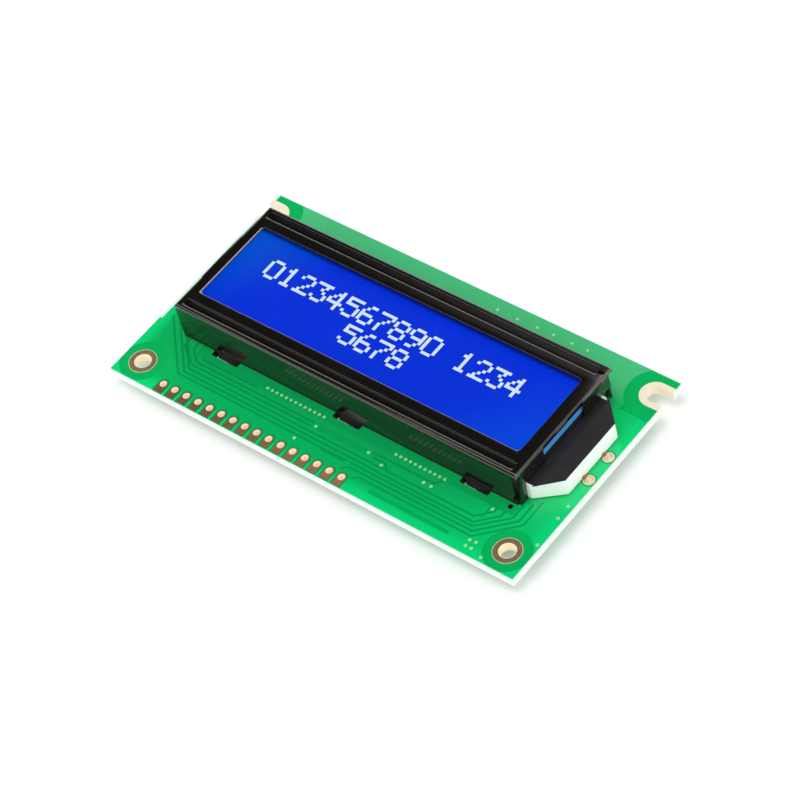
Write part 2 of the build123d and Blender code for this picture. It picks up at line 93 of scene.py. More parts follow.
# Dots of the digits, five wide and seven high, a row of each figure as a number in binary
FIGURES = {
    "0": (14, 17, 17, 17, 17, 17, 14),
    "1": (4, 12, 4, 4, 4, 4, 14),
    "2": (14, 17, 1, 2, 4, 8, 31),
    "3": (31, 2, 4, 2, 1, 17, 14),
    "4": (2, 6, 10, 18, 31, 2, 2),
    "5": (31, 16, 30, 1, 1, 17, 14),
    "6": (6, 8, 16, 30, 17, 17, 14),
    "7": (31, 1, 2, 4, 8, 8, 8),
    "8": (14, 17, 17, 14, 17, 17, 14),
    "9": (14, 17, 17, 15, 1, 2, 12),
}

# Gaps between the tracks on the board's face: a width and the points that each one passes, in millimetres
GAPS = (
    (0.34, ((-39.9, -7.9), (-39.9, -8.1), (-31.0, -17.0), (5.0, -17.0))),
    (0.36, (
        (-38.8, -7.6), (-30.4, -16.2), (9.6, -16.2), (11.2, -16.3), (30.0, -16.3), (33.1, -13.2), (33.1, -10.5),
    )),
    (0.36, (
        (-36.9, -8.0), (-30.1, -15.35), (9.0, -15.35), (11.4, -15.35), (29.4, -15.35), (31.6, -13.1), (31.6, -10.5),
    )),
    (0.36, ((-34.0, -9.5), (-34.0, -11.9), (-32.0, -13.2), (-30.2, -14.45), (-4.6, -14.45))),
    (0.36, ((-32.2, -10.4), (-32.2, -11.6), (-29.9, -13.65), (-4.6, -13.65))),
    (0.36, ((-31.0, -10.4), (-29.2, -12.7), (-17.5, -12.7))),
    (0.36, ((6.0, -17.0), (30.4, -17.0), (34.9, -12.6), (34.9, -10.0))),
    (0.36, ((5.2, -18.6), (6.1, -17.8), (30.9, -17.8), (36.1, -12.6), (36.1, -9.0))),
    (0.30, ((7.9, -19.5), (8.8, -18.65), (31.4, -18.65), (37.15, -12.9), (37.15, -8.0))),
    (0.36, ((8.0, -13.55), (20.0, -13.55), (21.3, -12.2))),
    (0.36, ((8.4, -14.35), (10.9, -14.35), (11.8, -15.2))),
    (0.50, ((-0.1, -17.2), (4.5, -17.2))),
    (0.20, ((30.6, -15.0), (30.6, -10.4))),
    (0.30, ((36.6, 13.0), (36.6, 14.2), (37.1, 13.2), (41.4, 13.0))),
)

# Bare places of the face, where the copper is etched away: corners in millimetres
BARE = (
    ((-3.25, -14.6), (6.8, -13.5)),
    ((-31.0, -12.35), (34.6, -10.35)),
    ((11.9, -20.25), (28.0, -19.6)),
)

# Tented vias on the face, in millimetres
VIA_ROWS = ((-15.8, 1.0, 13, -11.92), (11.15, 0.985, 11, -12.0))
VIAS = (
    (-3.75, -14.1), (7.1, -13.95), (10.5, -14.93), (-5.3, -17.7), (18.5, -14.2), (20.0, -14.2), (31.13, -12.87),
    (40.97, -9.13), (41.0, -6.5), (41.3, -14.8), (35.2, -21.1), (31.65, -19.3), (32.8, -19.2), (31.75, -20.5),
    (32.83, -20.5), (7.0, 19.75), (11.1, 19.75), (15.0, 19.9), (18.25, 19.95), (21.9, 19.95), (25.0, 20.05),
)


def paint(red, green, blue):
    """Give the linear colour of a shade that is known as it shows on a screen, 0 to 255."""
    return tuple(
        (value / 255 / 12.92) if value <= 10 else ((value / 255 + 0.055) / 1.055) ** 2.4
        for value in (red, green, blue)
    )


class Wire:
    """A number that flows through a finish, with Python's arithmetic."""

    def __init__(self, finish, socket):
        self.finish = finish
        self.socket = socket

    def maths(self, operation, *values):
        settings = {"operation": operation}
        return self.finish.node("ShaderNodeMath", settings, dict(enumerate(values)))

    def __add__(self, other):
        return self.maths("ADD", self, other)

    def __radd__(self, other):
        return self.maths("ADD", other, self)

    def __sub__(self, other):
        return self.maths("SUBTRACT", self, other)

    def __rsub__(self, other):
        return self.maths("SUBTRACT", other, self)

    def __mul__(self, other):
        return self.maths("MULTIPLY", self, other)

    def __rmul__(self, other):
        return self.maths("MULTIPLY", other, self)

    def __abs__(self):
        return self.maths("ABSOLUTE", self)

    def __pow__(self, other):
        return self.maths("POWER", self, other)

    def most(self, other):
        return self.maths("MAXIMUM", self, other)

    def least(self, other):
        return self.maths("MINIMUM", self, other)


class Finish:
    """A material for one of the module's surfaces, built node by node."""

    def __init__(self, name):
        self.material = bpy.data.materials.new(name)
        self.material.use_nodes = True
        self.tree = self.material.node_tree
        self.tree.nodes.clear()
        place = self.node("ShaderNodeTexCoord", output="Object")
        self.place = self.node("ShaderNodeVectorMath", {"operation": "SCALE"}, {0: place, "Scale": 1 / MM})
        self.x, self.y, self.z = (
            self.node("ShaderNodeSeparateXYZ", inputs={0: self.place}, output=axis) for axis in "XYZ"
        )

    def node(self, kind, settings=None, inputs=None, output=0):
        """Add one node, set it up and give the wire of its output."""
        node = self.tree.nodes.new(kind)
        for name, value in (settings or {}).items():
            setattr(node, name, value)
        for key, value in (inputs or {}).items():
            if isinstance(value, Wire):
                self.tree.links.new(value.socket, node.inputs[key])
            elif isinstance(value, tuple) and len(node.inputs[key].default_value) == 4:
                node.inputs[key].default_value = (*value[:3], 1)
            else:
                node.inputs[key].default_value = value
        return Wire(self, node.outputs[output]) if len(node.outputs) else None

    def cloud(self, size, detail=3.0, place=None):
        """Soft random variation from 0 to 1 with spots of a size in millimetres."""
        inputs = {"Vector": place or self.place, "Scale": 1 / size, "Detail": detail}
        return self.node("ShaderNodeTexNoise", inputs=inputs)

    def step(self, value, low, high):
        """Go smoothly from 0 to 1 as a value goes from low to high."""
        inputs = {0: value, 1: low, 2: high}
        return self.node("ShaderNodeMapRange", {"interpolation_type": "SMOOTHSTEP"}, inputs)

    def mix(self, first, second, share):
        """Blend two colours by a share from 0 to 1."""
        inputs = {0: share, 6: first, 7: second}
        return self.node("ShaderNodeMix", {"data_type": "RGBA"}, inputs, output=2)

    def bump(self, height, strength, distance):
        """Raise the surface by a height from 0 to 1, times a distance in millimetres."""
        inputs = {"Height": height, "Strength": strength, "Distance": distance * MM}
        return self.node("ShaderNodeBump", inputs=inputs)

    def near(self, x, y):
        """Distance in millimetres, seen from above, to a point or to the nearest of two mirrored ones."""
        across = abs(self.x) - abs(x) if x else self.x
        along = self.y - y
        return (across * across + along * along) ** 0.5

    def box(self, low, high, soft=0.1):
        """Give 1 inside a rectangle seen from above and 0 outside, with a soft border in millimetres."""
        middle = [(a + b) / 2 for a, b in zip(low, high)]
        half = [(b - a) / 2 for a, b in zip(low, high)]
        beyond = (abs(self.x - middle[0]) - half[0]).most(abs(self.y - middle[1]) - half[1])
        return 1 - self.step(beyond, -soft / 2, soft / 2)

    def surface(self, **values):
        """Finish with one principled surface, whose sockets are named in lower case."""
        inputs = {name.replace("_", " ").title().replace("Ior", "IOR"): value for name, value in values.items()}
        shader = self.node("ShaderNodeBsdfPrincipled", inputs=inputs)
        self.node("ShaderNodeOutputMaterial", inputs={"Surface": shader})
        return self.material


def dress(node_names, material):
    """Give CAD nodes a finish."""
    for name in node_names:
        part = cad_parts[name]
        if not part.material_slots:
            part.data.materials.append(material)
        for slot in part.material_slots:
            slot.material = material


def fresh():
    """Leave edit mode and select nothing, so that the next primitive is alone."""
    if bpy.context.object and bpy.context.object.mode != "OBJECT":
        bpy.ops.object.mode_set(mode="OBJECT")
    bpy.ops.object.select_all(action="DESELECT")


def select(part):
    """Make one object the selected and active one."""
    fresh()
    part.select_set(True)
    bpy.context.view_layer.objects.active = part


def block(low, high, angle=0.0):
    """Add a block between two corners in millimetres, turned about the vertical through its middle."""
    fresh()
    middle = [(a + b) / 2 * MM for a, b in zip(low, high)]
    size = [(b - a) * MM for a, b in zip(low, high)]
    bpy.ops.mesh.primitive_cube_add(size=1, location=middle, rotation=(0, 0, angle), scale=size)
    return bpy.context.object


def disc(x, y, low, high, radius, sides=48):
    """Add an upright round block in millimetres."""
    fresh()
    bpy.ops.mesh.primitive_cylinder_add(
        vertices=sides, radius=radius * MM, depth=(high - low) * MM, location=(x * MM, y * MM, (low + high) / 2 * MM)
    )
    return bpy.context.object


def join(parts, name):
    """Join pieces into one, with its place in its mesh."""
    select(parts[0])
    for part in parts:
        part.select_set(True)
    bpy.ops.object.join()
    piece = bpy.context.object
    bpy.ops.object.transform_apply(location=True, rotation=True, scale=True)
    piece.name = name
    piece.data.name = name
    return piece


def use(piece, kind, **settings):
    """Add a modifier to a piece and apply it."""
    select(piece)
    modifier = piece.modifiers.new(kind.title(), kind)
    for name, value in settings.items():
        setattr(modifier, name, value)
    bpy.ops.object.modifier_apply(modifier=modifier.name)


def cut(piece, cutter):
    """Cut a piece with another, which is used up."""
    use(piece, "BOOLEAN", object=cutter, operation="DIFFERENCE", solver="EXACT", use_self=True)
    bpy.data.objects.remove(cutter)


def smooth(piece, angle=30):
    """Shade a piece smoothly, but for edges sharper than an angle."""
    select(piece)
    bpy.ops.object.shade_smooth_by_angle(angle=math.radians(angle))


def settle(piece, material):
    """Give a finished piece its material and its place on the module."""
    piece.data.materials.clear()
    piece.data.materials.append(material)
    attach(piece, "root")


def copies(master, places, name):
    """Set copies of a piece at places in millimetres, join them and drop the master."""
    made = []
    for x, y, z in places:
        copy = master.copy()
        copy.data = master.data.copy()
        copy.location = (x * MM, y * MM, z * MM)
        bpy.context.scene.collection.objects.link(copy)
        made.append(copy)
    bpy.data.objects.remove(master)
    return join(made, name)


def strip(points, width, low, high):
    """Make the upright blocks of one track or gap, with a round block at each bend."""
    made = []
    for (x0, y0), (x1, y1) in zip(points, points[1:]):
        length = math.hypot(x1 - x0, y1 - y0)
        x, y = (x0 + x1) / 2, (y0 + y1) / 2
        low_corner = (x - length / 2, y - width / 2, low)
        high_corner = (x + length / 2, y + width / 2, high)
        made.append(block(low_corner, high_corner, math.atan2(y1 - y0, x1 - x0)))
    made += [disc(x, y, low, high, width / 2, 16) for x, y in points]
    return made


class DisplaySettings(bpy.types.PropertyGroup):
    """Sizes and colours of the lit face."""

    top_text: StringProperty(name="Top Row", description="Digits of the top row", default="01234567890 1234")
    low_text: StringProperty(name="Low Row", description="Digits of the low row", default="      5678      ")
    first_column: FloatProperty(
        name="First Column", description="Left edge of the first figure", default=-27.6 * MM, unit="LENGTH"
    )
    column_pitch: FloatProperty(
        name="Column Pitch", description="From one figure to the next", default=3.317 * MM, unit="LENGTH"
    )
    top_row: FloatProperty(name="Top Row Foot", description="Foot of the top row", default=2.36 * MM, unit="LENGTH")
    row_pitch: FloatProperty(name="Row Pitch", description="From row to row", default=4.8 * MM, unit="LENGTH")
    dot_width: FloatProperty(name="Dot Width", description="Width of one dot", default=0.59 * MM, unit="LENGTH")
    dot_height: FloatProperty(name="Dot Height", description="Height of one dot", default=0.555 * MM, unit="LENGTH")
    dot_pitch_x: FloatProperty(name="Dot Pitch X", description="Dot to dot across", default=0.6 * MM, unit="LENGTH")
    dot_pitch_y: FloatProperty(name="Dot Pitch Y", description="Dot to dot up", default=0.567 * MM, unit="LENGTH")
    lit: FloatVectorProperty(
        name="Lit Dots", description="Colour of a lit dot", default=paint(222, 240, 255), subtype="COLOR"
    )
    glow: FloatVectorProperty(
        name="Ground", description="Colour of the lit ground", default=paint(0, 48, 215), subtype="COLOR"
    )


class BoardSettings(bpy.types.PropertyGroup):
    """Sizes and colours of the circuit board."""

    copper_height: FloatProperty(
        name="Copper Height", description="Height of the masked copper", default=0.045 * MM, unit="LENGTH"
    )
    pour: FloatVectorProperty(
        name="Masked Copper", description="Mask over copper", default=paint(0, 184, 95), subtype="COLOR"
    )
    bare: FloatVectorProperty(
        name="Masked Laminate", description="Mask over bare laminate", default=paint(0, 160, 84), subtype="COLOR"
    )
    laminate: FloatVectorProperty(
        name="Laminate", description="Cut edge of the board", default=paint(250, 253, 250), subtype="COLOR"
    )
    via_radius: FloatProperty(name="Via Radius", description="Radius of a tented via", default=0.3 * MM, unit="LENGTH")


class StudioSettings(bpy.types.PropertyGroup):
    """The camera and lamps."""

    azimuth: FloatProperty(
        name="Azimuth", description="Camera's bearing", default=math.radians(51.356), subtype="ANGLE"
    )
    elevation: FloatProperty(
        name="Elevation", description="Camera's height angle", default=math.radians(48.757), subtype="ANGLE"
    )
    roll: FloatProperty(name="Roll", description="Camera's turn", default=math.radians(16.637), subtype="ANGLE")
    place: FloatVectorProperty(
        name="Camera", description="Camera's place", default=(0.27003, -0.21513, 0.39118), subtype="TRANSLATION"
    )
    lens: FloatProperty(name="Lens", description="Focal length in millimetres", default=146.31, min=1)
    overhead: FloatProperty(name="Overhead", description="Brightness of the upper lamps", default=2.4, min=0)
    side: FloatProperty(name="Side", description="Brightness of the side lamps", default=5.0, min=0)


class DISPLAY_OT_board(bpy.types.Operator):
    """Lay the masked copper on the board and colour the board"""

    bl_idname = "display.board"
    bl_label = "Board"

    def execute(self, context):
        settings = context.scene.display_board
        height = settings.copper_height / MM
        length, width = COPPER_EDGE
        dress(["circuit_board"], laminate_finish(settings))
        for name, foot in (("front_copper", BOARD_TOP), ("under_copper", BOARD_FOOT - height)):
            copper = join([block((-length, -width, foot), (length, width, foot + height))], name)
            below, above = foot - 0.02, foot + height + 0.02
            cut(copper, join(clearances(below, above), "cutter"))
            if name == "front_copper":
                gaps = []
                for gap, points in GAPS:
                    gaps += strip(points, gap, below, above)
                gaps += [block((*low, below), (*high, above)) for low, high in BARE]
                cut(copper, join(gaps, "cutter"))
            smooth(copper)
            settle(copper, copper_finish(settings))
        return {"FINISHED"}


def clearances(low, high):
    """Make the blocks that clear the copper from the holes, notches, lands and slots."""
    made = []
    beyond_x, beyond_y = (edge + 1 for edge in BOARD_EDGE)
    round_hole, round_notch, round_land = 4.0, 4.9, 1.05
    for side in (-1, 1):
        made.append(disc(side * MOUNTING_HOLE[0], MOUNTING_HOLE[1], low, high, round_hole))
        made.append(disc(side * NOTCH[0], NOTCH[1], low, high, round_notch))
        left, right = sorted((side * 39, side * beyond_x))
        made.append(block((left, NOTCH[1] - round_notch, low), (right, beyond_y, high)))
    made.append(block((-beyond_x, LEFT_MARGIN[1], low), (LEFT_MARGIN[0], beyond_y, high)))
    for step in range(HEADER_COUNT):
        x = HEADER[0] + HEADER_PITCH * step
        made.append(disc(x, HEADER[1], low, high, round_land, 24))
        made.append(block((x - round_land, -beyond_y, low), (x + round_land, HEADER[1], high)))
    made += [disc(x, y, low, high, 1.25, 24) for x, y in LEADS]
    made += [block((x - 2.9, y - 0.95, low), (x + 2.9, y + 0.95, high)) for x, y in FOOT_SLOTS]
    made.append(disc(*CORNER_HOLE, low, high, 0.6, 24))
    return made


def laminate_finish(settings):
    """Green mask over bare laminate on the faces, pale glass-fibre at the outer edges with a painted glow, and painted
    shade dark in the holes.
    """
    finish = Finish("Board Laminate")
    upper = finish.step(finish.z, BOARD_TOP - 0.03, BOARD_TOP - 0.01)
    face = upper.most(1 - finish.step(finish.z, BOARD_FOOT + 0.01, BOARD_FOOT + 0.03))
    weave = finish.cloud(0.35, 2.0)
    mask = finish.mix(tuple(settings.bare), tuple(c * 0.93 for c in settings.bare), weave)
    round_hole = 1 - finish.step(finish.near(*MOUNTING_HOLE), 4.0, 4.05)
    round_notch = 1 - finish.step(finish.near(*NOTCH), 5.3, 5.4)
    mask = finish.mix(mask, tuple(settings.pour), (round_hole * 0.8).most(round_notch))
    for low, high in BARE:
        mask = finish.mix(mask, tuple(settings.pour), finish.box(low, high) * 0.6)
    left = (LEFT_MARGIN[0] - finish.x).least(finish.y - LEFT_MARGIN[1])
    margin = (abs(finish.x) - MARGIN_EDGE[0]).most(abs(finish.y) - MARGIN_EDGE[1]).most(left)
    pale = finish.mix(paint(196, 244, 222), paint(236, 252, 244), 1 - finish.step(finish.x, -41.6, -41.3))
    mask = finish.mix(mask, pale, finish.step(margin, 0.0, 0.06))
    drawn = finish.node("ShaderNodeMapping", inputs={"Vector": finish.place, "Scale": (0.12, 0.12, 1.6)})
    fibre = finish.cloud(0.12, 2.0, drawn)
    edge = finish.mix(tuple(settings.laminate), paint(232, 244, 236), fibre)
    # painted shade: the laminate's walls inside holes and slots are painted dark
    beyond = (abs(finish.x) - BOARD_EDGE[0]).most(abs(finish.y) - BOARD_EDGE[1])
    inner = 1 - finish.step(beyond, -0.3, -0.2)
    edge = finish.mix(edge, paint(16, 22, 18), inner)
    return finish.surface(
        base_color=finish.mix(edge, mask, face),
        roughness=0.62 - 0.4 * face,
        specular_ior_level=0.4,
        # painted light: the pale cut edge at the outer edges glows so that it renders white
        emission_color=finish.mix(paint(0, 0, 0), edge, (1 - face) * (1 - inner)),
        emission_strength=0.14,
        normal=finish.bump(weave + fibre * (1 - face), 0.2, 0.015),
    )


def copper_finish(settings):
    """Green mask over copper, with painted light brighter towards the right end and the edges, and a painted
    reflection paler behind the bezel.
    """
    finish = Finish("Masked Copper")
    wave = finish.cloud(6.0, 2.0)
    grain = finish.cloud(0.4, 3.0)
    # painted light: the mask is painted brighter towards the right end
    toward = finish.step(finish.x, 18.0, 34.0)
    pour = finish.mix(tuple(settings.pour), paint(0, 202, 110), toward)
    # painted light: the mask is painted brighter within a few millimetres of the board's edges, away from the bezel's
    # shade
    inside = (BOARD_EDGE[0] - abs(finish.x)).least(BOARD_EDGE[1] - abs(finish.y))
    pour = finish.mix(pour, paint(0, 222, 126), 1 - finish.step(inside, 0.6, 3.2))
    pour = finish.mix(pour, tuple(c * 0.9 for c in settings.pour), wave * 0.35)
    # painted reflection: the strip behind the bezel is painted paler, where the glossy mask mirrors the pale backdrop
    back = finish.step(finish.y, 13.0, 17.0) * (1 - finish.step(finish.x, 35.0, 38.0))
    pour = finish.mix(pour, paint(84, 196, 132), back * (0.6 + 0.4 * wave))
    return finish.surface(
        base_color=pour,
        roughness=0.2 + 0.1 * grain,
        specular_ior_level=0.4,
        normal=finish.bump(grain, 0.12, 0.015),
    )


class DISPLAY_OT_vias(bpy.types.Operator):
    """Set the tented vias on the board"""

    bl_idname = "display.vias"
    bl_label = "Vias"

    def execute(self, context):
        settings = context.scene.display_board
        top = BOARD_TOP + settings.copper_height / MM
        radius = settings.via_radius / MM
        master = disc(0, 0, -0.02, 0.05, radius, 16)
        bpy.ops.object.mode_set(mode="EDIT")
        bpy.ops.mesh.select_all(action="SELECT")
        bpy.ops.mesh.bevel(offset=0.05 * MM, segments=2, affect="EDGES")
        bpy.ops.object.mode_set(mode="OBJECT")
        bpy.ops.object.transform_apply(location=True, rotation=True, scale=True)
        places = [(x, y, top) for x, y in VIAS]
        for first, pitch, count, y in VIA_ROWS:
            places += [(first + pitch * step, y, BOARD_TOP) for step in range(count)]
        dots = copies(master, places, "tented_vias")
        smooth(dots, 40)
        finish = Finish("Tented Via")
        grain = finish.cloud(0.15)
        settle(dots, finish.surface(
            base_color=finish.mix(paint(120, 224, 150), paint(170, 236, 170), grain),
            roughness=0.35,
            normal=finish.bump(grain, 0.2, 0.02),
        ))
        stubs = []
        for first, pitch, count, y in VIA_ROWS:
            for step in range(count):
                x = first + pitch * step
                stubs.append(block((x - 0.13, y, BOARD_TOP - 0.02), (x + 0.13, -10.3, top)))
        settle(join(stubs, "via_tracks"), bpy.data.materials["Masked Copper"])
        return {"FINISHED"}


class DISPLAY_OT_plating(bpy.types.Operator):
    """Colour the plated rings, lands and solder, with painted light glowing in the holes and the notch"""

    bl_idname = "display.plating"
    bl_label = "Plating"

    def execute(self, context):
        finish = Finish("Aged Plating")
        tarnish = finish.cloud(0.5, 4.0)
        fine = finish.cloud(0.12, 2.0)
        ring = finish.near(*MOUNTING_HOLE)
        # painted light: the barrel wall inside each mounting hole is painted pale and glows
        wall = 1 - finish.step(ring, 1.4, 1.55)
        rim = finish.step(ring, 2.28, 2.36)
        land = finish.mix(paint(104, 88, 58), paint(176, 148, 112), tarnish)
        land = finish.mix(land, paint(240, 226, 192), wall.most(rim))
        dress(["mounting_rings"], finish.surface(
            base_color=land,
            emission_color=finish.mix(paint(0, 0, 0), paint(240, 228, 190), wall),
            emission_strength=0.3,
            metallic=0.5 * (1 - wall),
            roughness=0.34 + 0.14 * fine,
            normal=finish.bump(fine, 0.25, 0.03),
        ))
        finish = Finish("Header Plating")
        tarnish = finish.cloud(0.45, 4.0)
        fine = finish.cloud(0.12, 2.0)
        half = HEADER_PITCH / 2
        step = finish.node("ShaderNodeMath", {"operation": "WRAP"}, {0: finish.x - HEADER[0], 1: half, 2: -half})
        along = finish.y - HEADER[1]
        hole = 1 - finish.step((step * step + along * along) ** 0.5, 0.56, 0.68)
        # painted light: the header holes are painted pale and glow, lighter on their far side and darker by the near
        # lip
        shine = 0.35 + 0.65 * finish.step(along * 0.6 - step, -0.5, 0.3)
        # painted light: besides real tarnish, the lands are painted lighter towards the right end
        toward = finish.step(finish.x, -30.0, 8.0)
        land = finish.mix(paint(98, 66, 42), paint(190, 140, 98), (tarnish + toward) * 0.5)
        dress(["header_lands"], finish.surface(
            base_color=finish.mix(land, paint(246, 228, 200), hole * shine),
            emission_color=finish.mix(paint(0, 0, 0), paint(250, 232, 204), hole * shine),
            emission_strength=0.32,
            metallic=0.45 * (1 - hole),
            roughness=0.34 + 0.14 * fine,
            normal=finish.bump(fine, 0.25, 0.03),
        ))
        for name, nodes, bright, dark in (
            ("Tinned Notch", ["notch_rings"], (252, 244, 222), (242, 228, 200)),
            ("Tinned Land", ["lead_lands", "resistor_caps", "capacitor_caps"], (246, 234, 210), (228, 208, 172)),
            ("Solder", ["lead_solder"], (248, 234, 208), (222, 190, 150)),
            ("Tinned Lead", ["backlight_leads"], (200, 120, 64), (150, 84, 44)),
        ):
            finish = Finish(name)
            grain = finish.cloud(0.4, 4.0)
            tin = finish.mix(paint(*bright), paint(*dark), grain)
            dress(nodes, finish.surface(
                base_color=tin,
                emission_color=tin,
                # painted light: the notch plating glows a little so that it renders pale
                emission_strength=0.14 if name == "Tinned Notch" else 0.0,
                metallic=0.25,
                roughness=0.34 + 0.15 * grain,
                normal=finish.bump(grain, 0.2, 0.02),
            ))
        return {"FINISHED"}


class DISPLAY_OT_bezel(bpy.types.Operator):
    """Paint the folded bezel"""

    bl_idname = "display.bezel"
    bl_label = "Bezel"

    def execute(self, context):
        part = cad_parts["metal_bezel"]
        fresh()
        shell = part.copy()
        shell.data = part.data.copy()
        context.scene.collection.objects.link(shell)
        select(shell)
        shell.parent = None
        shell.matrix_world = Matrix.Identity(4)
        shell.name = "folded_bezel"
        shell.data.name = "folded_bezel"
        bpy.ops.object.mode_set(mode="EDIT")
        bpy.ops.mesh.select_all(action="SELECT")
        bpy.ops.mesh.remove_doubles(threshold=0.000001)
        bpy.ops.mesh.dissolve_limited(angle_limit=math.radians(0.5))
        round_lips(shell)
        use(shell, "BEVEL", width=0.07 * MM, segments=2, limit_method="ANGLE", angle_limit=math.radians(35))
        smooth(shell, 35)
        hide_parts("metal_bezel")
        settle(shell, bezel_finish())
        return {"FINISHED"}


def round_lips(shell):
    """Round the lips of the pressed grooves and of the window in the bezel's plate."""
    bpy.ops.mesh.select_all(action="DESELECT")
    bpy.ops.object.mode_set(mode="OBJECT")
    for edge in shell.data.edges:
        ends = [shell.data.vertices[index].co for index in edge.vertices]
        flat = all(abs(end.z / MM - BEZEL_TOP) < 0.01 for end in ends)
        groove = all(min(abs(end.y / MM - line) for line in GROOVE_LINES) < 0.7 for end in ends)
        inner = all(-34.5 < end.x / MM < 34.2 for end in ends)
        window = all(-6.1 < end.y / MM < 10.3 for end in ends)
        edge.select = flat and inner and (groove or window)
    bpy.ops.object.mode_set(mode="EDIT")
    bpy.ops.mesh.select_mode(type="EDGE")
    bpy.ops.mesh.bevel(offset=0.15 * MM, segments=3, clamp_overlap=False)
    bpy.ops.object.mode_set(mode="OBJECT")


def bezel_finish():
    """Glossy black lacquer, with bare steel and a painted highlight at the window's front and left cut edge, painted
    highlights on the groove lips and folds, and a painted reflection on the plate behind the window.
    """
    finish = Finish("Black Lacquer")
    top = BEZEL_TOP
    # bare steel and painted highlight: the window's cut edge is painted pale only on its front and left sides, where
    # it catches the light
    beyond = (abs(finish.x + 0.35) - 33.0).most(abs(finish.y - 2.1) - 8.15)
    rim = (1 - finish.step(beyond, 0.03, 0.12)) * (1 - finish.step(finish.y, 9.6, 10.1))
    rim = rim * (1 - finish.step(finish.x, 32.2, 32.5)) * finish.step(finish.z, top - 0.3, top - 0.26)
    # painted highlights: pale lines painted along the groove lips, where they catch the light
    lip = (abs(finish.y + 9.42) * 0.6).least(abs(finish.y + 8.05) + 0.09).least(abs(finish.y - 12.1) * 0.6)
    run = 1 - finish.step(abs(finish.x - GROOVE_MIDDLE), *GROOVE_REACH)
    lip = (1 - finish.step(lip, 0.06, 0.16)) * run
    # painted highlights: a grey band painted on the right fold and a line on the front fold's brow
    fold = finish.step(finish.x, 34.7, 35.1) * (1 - finish.step(finish.x, 36.0, 36.2)) * 0.65
    brow = finish.step(finish.z, top - 0.8, top - 0.6) * (1 - finish.step(finish.z, top - 0.4, top - 0.2))
    fold = fold.most(brow * (1 - finish.step(finish.y, -10.25, -10.1)) * 0.6)
    off_line = abs(finish.y - GROOVE_LINES[0]).least(abs(finish.y - GROOVE_LINES[1]))
    groove = (1 - finish.step(off_line, 0.5, 0.6)) * run
    painted_highlight = (lip * 0.65).most(fold * finish.step(finish.z, top - 0.8, top - 0.5))
    haze = finish.cloud(3.0, 4.0)
    fine = finish.cloud(0.08, 2.0)
    foot = 1 - finish.step(finish.z, 4.4, 4.9)
    # painted reflection: the plate behind the window is painted lighter grey
    back = finish.step(finish.y, 10.6, 11.4) * finish.step(finish.x, -30.0, 40.0)
    lacquer = finish.mix(paint(12, 10, 9), paint(22, 19, 17), haze)
    lacquer = finish.mix(lacquer, paint(44, 41, 40), back)
    lacquer = finish.mix(lacquer, paint(108, 104, 100), painted_highlight)
    return finish.surface(
        base_color=finish.mix(lacquer, paint(206, 188, 168), rim * 0.85),
        roughness=0.12 + 0.08 * haze + 0.2 * rim + 0.5 * foot.most(groove * 0.8),
        metallic=0.4 * rim + 0.9 * groove,
        normal=finish.bump(fine, 0.05, 0.01),
    )


class DISPLAY_OT_cell(bpy.types.Operator):
    """Finish the display cell and light its face"""

    bl_idname = "display.cell"
    bl_label = "Cell"

    def execute(self, context):
        settings = context.scene.display_face
        dress(["front_polarizer"], glow_finish(settings))
        for name, nodes, colour, deep, rough in (
            ("Glass Edge", ["front_glass"], (20, 26, 34), (10, 14, 20), 0.12),
            ("Lit Glass Edge", ["rear_glass"], (64, 138, 194), (44, 108, 168), 0.2),
            ("Cell Seal", ["cell_seal"], (70, 70, 66), (46, 46, 44), 0.5),
            ("Port Resin", ["port_seal"], (190, 176, 120), (150, 134, 84), 0.25),
            ("Rear Film", ["rear_polarizer"], (60, 66, 80), (40, 46, 60), 0.4),
            ("Contact Rubber", ["front_contact_strip", "back_contact_strip"], (58, 52, 54), (30, 28, 30), 0.6),
        ):
            finish = Finish(name)
            grain = finish.cloud(1.2, 4.0)
            if name == "Contact Rubber":
                layers = finish.node("ShaderNodeMath", {"operation": "PINGPONG"}, {0: finish.x * 10.0, 1: 0.5})
                grain = finish.step(layers, 0.2, 0.3) * finish.box((-36, -8.3), (36, 12.5))
            colour = finish.mix(paint(*colour), paint(*deep), grain)
            dress(nodes, finish.surface(
                base_color=colour,
                emission_color=colour,
                emission_strength=0.55 if name == "Lit Glass Edge" else 0.0,
                roughness=rough,
                normal=finish.bump(grain, 0.1, 0.02),
            ))
        return {"FINISHED"}


def glow_finish(settings):
    """Deep blue ground lit from behind, lighter at the left end and towards the lamps, with a painted shadow along its
    back edge.
    """
    finish = Finish("Lit Ground")
    ground = tuple(settings.glow)
    left = 1 - finish.step(finish.x - finish.y * 0.8, -42.0, -22.0)
    right = finish.step(finish.x - finish.y, 16.0, 42.0)
    colour = finish.mix(ground, paint(0, 92, 200), left * 0.8)
    colour = finish.mix(colour, paint(0, 78, 222), right)
    # painted shadow: a dark band along the back edge, where the bezel's edge shades the face
    back = finish.step(finish.y, 9.6, 10.3)
    colour = finish.mix(colour, paint(4, 14, 70), back * 0.8)
    haze = finish.cloud(8.0, 2.0)
    return finish.surface(
        base_color=finish.mix(paint(0, 10, 90), paint(0, 18, 110), haze),
        emission_color=colour,
        emission_strength=0.8,
        roughness=0.3 + 0.06 * haze,
        specular_ior_level=0.1,
    )


